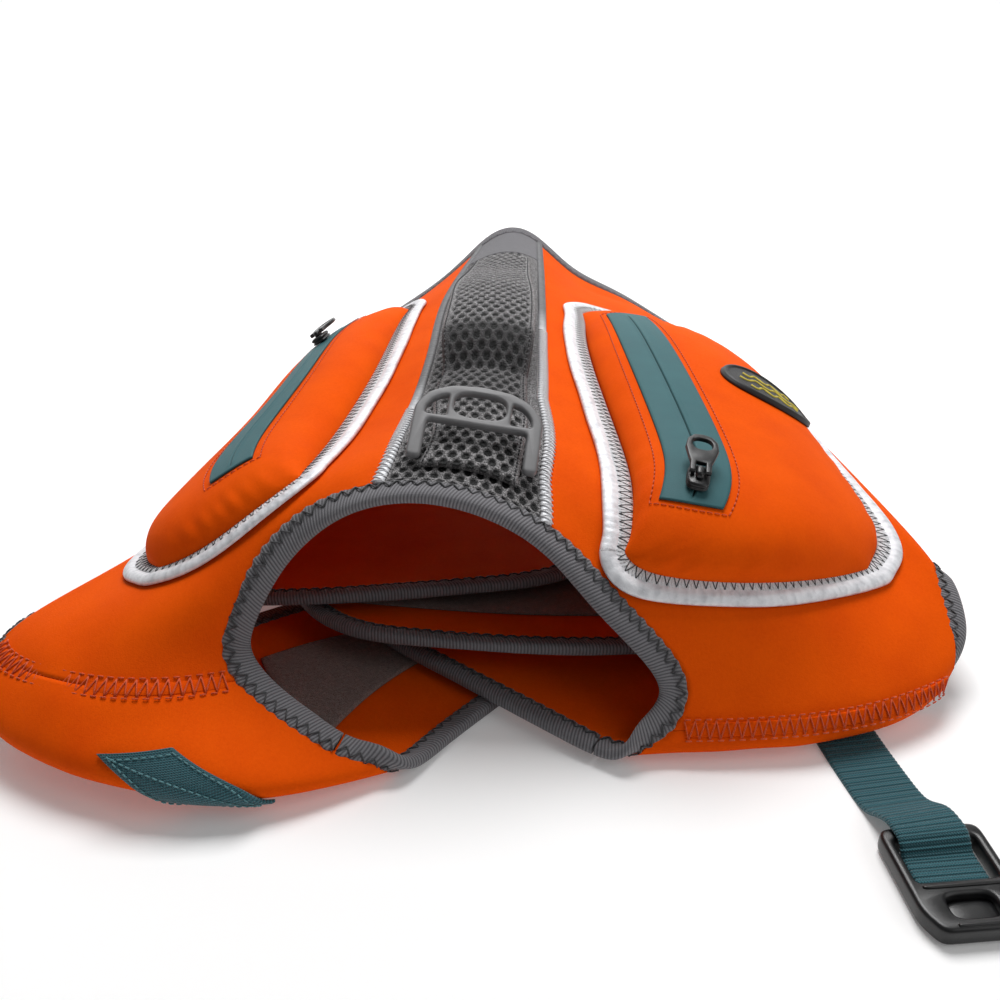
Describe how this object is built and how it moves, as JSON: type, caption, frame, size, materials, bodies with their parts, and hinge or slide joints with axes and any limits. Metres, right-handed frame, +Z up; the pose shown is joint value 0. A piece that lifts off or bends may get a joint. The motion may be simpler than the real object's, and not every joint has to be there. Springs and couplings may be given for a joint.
{
  "type": "dog life jacket",
  "caption": "Orange neoprene dog life jacket with foam floats, mesh spine, lifting handle, leash ring and silver trim, slumped open on its flaps",
  "frame": {"origin": "middle of the bounding box, on the surface that the jacket lies on", "axes": "+X to the right of the picture, across the jacket; +Y from the neck opening to the tail; +Z up"},
  "size_m": [0.3992, 0.4931, 0.1221],
  "materials": {
    "neoprene": "matte knit face on neoprene",
    "mesh": "open spacer mesh",
    "ribbed": "ribbed binding tape",
    "loop": "loop pile",
    "silver": "reflective silver binding",
    "teal": "woven webbing",
    "tape": "coated zip tape",
    "black": "moulded black",
    "ring": "moulded grey"
  },
  "bodies": {
    "jacket": {"spine_panel": "mesh", "spine_tail_cap": "ribbed", "handle": "mesh", "badge": "black", "leash_ring": "ring", "neck_binding": "ribbed", "hem_binding": "ribbed", "strap": "teal", "buckle": "black", "webbing_anchor_left": "teal", "loop_patch_chest": "loop", "loop_patch_belly": "loop", "piping_right": "silver", "side_right": "neoprene", "chest_right": "neoprene", "belly_right": "neoprene", "float_right": "neoprene", "float_binding_right": "silver", "zip_tape_right": "tape", "slider_right": "black", "flap_binding_right": "ribbed", "piping_left": "silver", "side_left": "neoprene", "chest_left": "neoprene", "belly_left": "neoprene", "float_left": "neoprene", "float_binding_left": "silver", "zip_tape_left": "tape", "slider_left": "black", "flap_binding_left": "ribbed"},
    "pull_right": {"zip_pull_right": "black"},
    "pull_left": {"zip_pull_left": "black"}
  },
  "joints": [
    {"name": "pull_right_flip", "type": "hinge", "parent": "jacket", "child": "pull_right", "pos_m": [0.08164, -0.10972, 0.09724], "axis": [0.9728, -0.1554, -0.1718], "range_deg": [0, 150]},
    {"name": "pull_left_flip", "type": "hinge", "parent": "jacket", "child": "pull_left", "pos_m": [-0.09313, 0.08167, 0.08535], "axis": [0.8242, -0.0588, 0.5633], "range_deg": [0, 150]}
  ]
}
